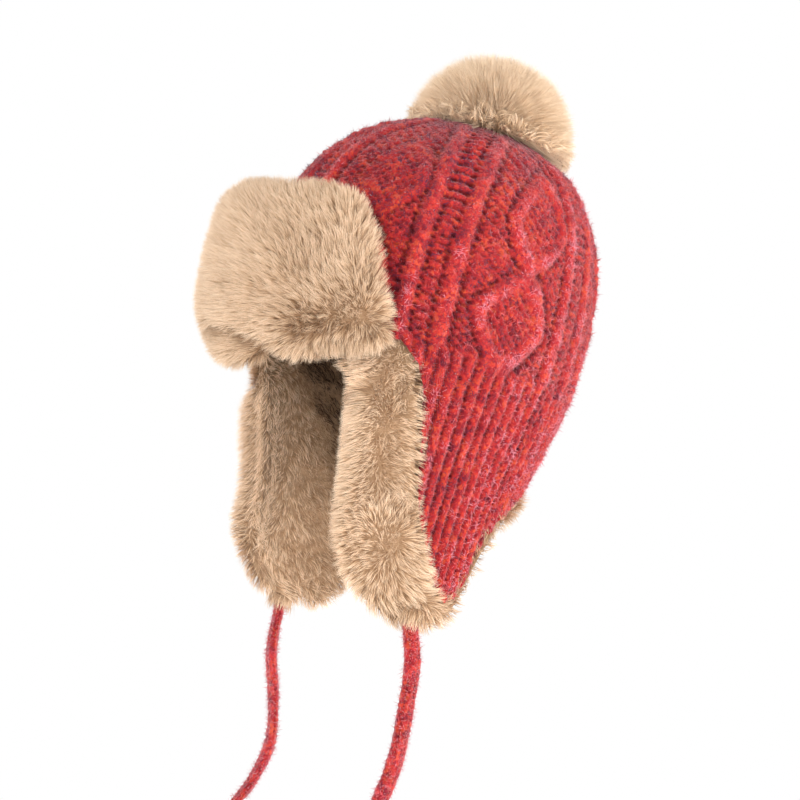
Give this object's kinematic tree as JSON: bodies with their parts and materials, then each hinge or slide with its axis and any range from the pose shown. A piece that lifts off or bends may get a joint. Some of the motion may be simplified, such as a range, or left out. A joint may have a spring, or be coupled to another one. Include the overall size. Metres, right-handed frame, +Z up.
{
  "type": "fleece-lined beanie",
  "caption": "Cable-knit winter hat with pile lining, turned-up fur brim, fur-edged ear flaps, a fur pompom and two knitted ties, held up as worn.",
  "frame": {"origin": "inside of the crown at its top, where the wearer's head touches it", "axes": "+Z up, -Y to the face, +X to the wearer's left"},
  "size_m": [0.1936, 0.2603, 0.5272],
  "materials": {
    "knit_yarn": "brushed wool-blend melange yarn, red with dark, orange and pink flecks",
    "cream_fur": "cream faux fur with brown roots",
    "pompom_fur": "long cream fur with brown roots",
    "tie_yarn": "flat knitted cord in the crown's yarn"
  },
  "bodies": {
    "root": {"knit_crown": "knit_yarn", "fur_lining": "cream_fur", "fur_brim": "cream_fur", "pompom": "pompom_fur", "tie_left": "tie_yarn", "tie_right": "tie_yarn", "tie_left_knot": "tie_yarn", "tie_right_knot": "tie_yarn"}
  },
  "joints": []
}
